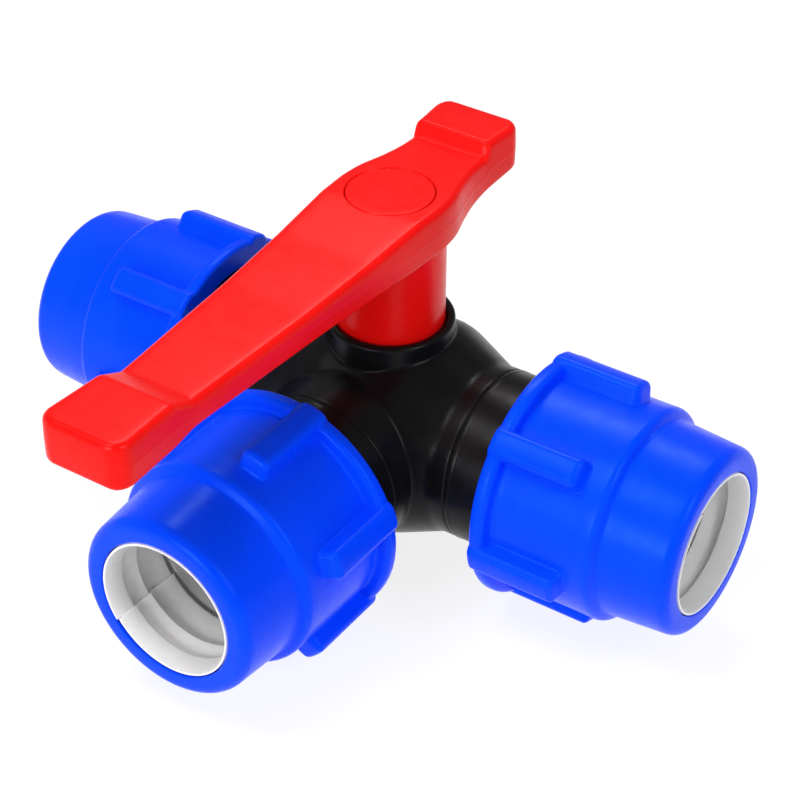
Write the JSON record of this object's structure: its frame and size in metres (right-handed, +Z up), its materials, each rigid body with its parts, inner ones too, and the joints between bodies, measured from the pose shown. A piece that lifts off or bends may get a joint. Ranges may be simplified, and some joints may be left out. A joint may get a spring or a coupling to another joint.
{
  "type": "three way valve",
  "caption": "Three way ball valve for plastic pressure pipe: T body, compression nut on each port, quarter turn lever handle on top.",
  "frame": {"origin": "where the axes of the three ports and of the stem cross, at the centre of the ball", "axes": "+X out of the right port and -X out of the left port, -Y out of the branch port, +Z up along the stem to the handle"},
  "size_m": [0.1882, 0.152, 0.099],
  "materials": {
    "black_polypropylene": "satin moulded black",
    "blue_nut_plastic": "semi-gloss moulded blue",
    "red_handle_plastic": "semi-gloss moulded red",
    "grip_ring_plastic": "satin natural white acetal",
    "bush_plastic": "satin white",
    "white_seat": "waxy white PTFE",
    "seal_rubber": "matt black nitrile",
    "ball_plastic": "smooth turned dark grey",
    "screw_steel": "zinc plated"
  },
  "bodies": {
    "body": {"valve_body": "black_polypropylene", "right_port_end": "black_polypropylene", "branch_port_end": "black_polypropylene", "left_port_end": "black_polypropylene", "right_seat": "white_seat", "branch_seat": "white_seat", "left_seat": "white_seat", "right_seat_cushion": "seal_rubber", "branch_seat_cushion": "seal_rubber", "left_seat_cushion": "seal_rubber", "right_pipe_seal": "seal_rubber", "branch_pipe_seal": "seal_rubber", "left_pipe_seal": "seal_rubber", "right_packing_bush": "bush_plastic", "branch_packing_bush": "bush_plastic", "left_packing_bush": "bush_plastic"},
    "handle_and_ball": {"handle": "red_handle_plastic", "handle_screw": "screw_steel", "handle_cap": "red_handle_plastic", "stem": "ball_plastic", "thrust_washer": "white_seat", "lower_stem_seal": "seal_rubber", "upper_stem_seal": "seal_rubber", "ball": "ball_plastic"},
    "right_grip": {"right_grip_ring": "grip_ring_plastic"},
    "right_nut": {"right_nut": "blue_nut_plastic"},
    "branch_grip": {"branch_grip_ring": "grip_ring_plastic"},
    "branch_nut": {"branch_nut": "blue_nut_plastic"},
    "left_grip": {"left_grip_ring": "grip_ring_plastic"},
    "left_nut": {"left_nut": "blue_nut_plastic"}
  },
  "joints": [
    {"name": "handle_turn", "type": "hinge", "parent": "body", "child": "handle_and_ball", "pos_m": [0, 0, 0.04], "axis": [0, 0, 1], "continuous": true},
    {"name": "right_nut_travel", "type": "slide", "parent": "body", "child": "right_grip", "axis": [1, 0, 0], "range_m": [-0.002, 0.02]},
    {"name": "right_nut_turn", "type": "hinge", "parent": "right_grip", "child": "right_nut", "pos_m": [0.07, 0, 0], "axis": [1, 0, 0], "range_deg": [-180, 1800]},
    {"name": "branch_nut_travel", "type": "slide", "parent": "body", "child": "branch_grip", "axis": [0, -1, 0], "range_m": [-0.0009, 0.0211]},
    {"name": "branch_nut_turn", "type": "hinge", "parent": "branch_grip", "child": "branch_nut", "pos_m": [0, -0.07, 0], "axis": [0, -1, 0], "range_deg": [-81, 1899]},
    {"name": "left_nut_travel", "type": "slide", "parent": "body", "child": "left_grip", "axis": [-1, 0, 0], "range_m": [-0.0082, 0.0138]},
    {"name": "left_nut_turn", "type": "hinge", "parent": "left_grip", "child": "left_nut", "pos_m": [-0.07, 0, 0], "axis": [-1, 0, 0], "range_deg": [-738, 1242]}
  ],
  "couplings": [
    {"joint": "right_nut_travel", "follows": "right_nut_turn", "m_per_rad": 0.00063662},
    {"joint": "branch_nut_travel", "follows": "branch_nut_turn", "m_per_rad": 0.00063662},
    {"joint": "left_nut_travel", "follows": "left_nut_turn", "m_per_rad": 0.00063662}
  ]
}
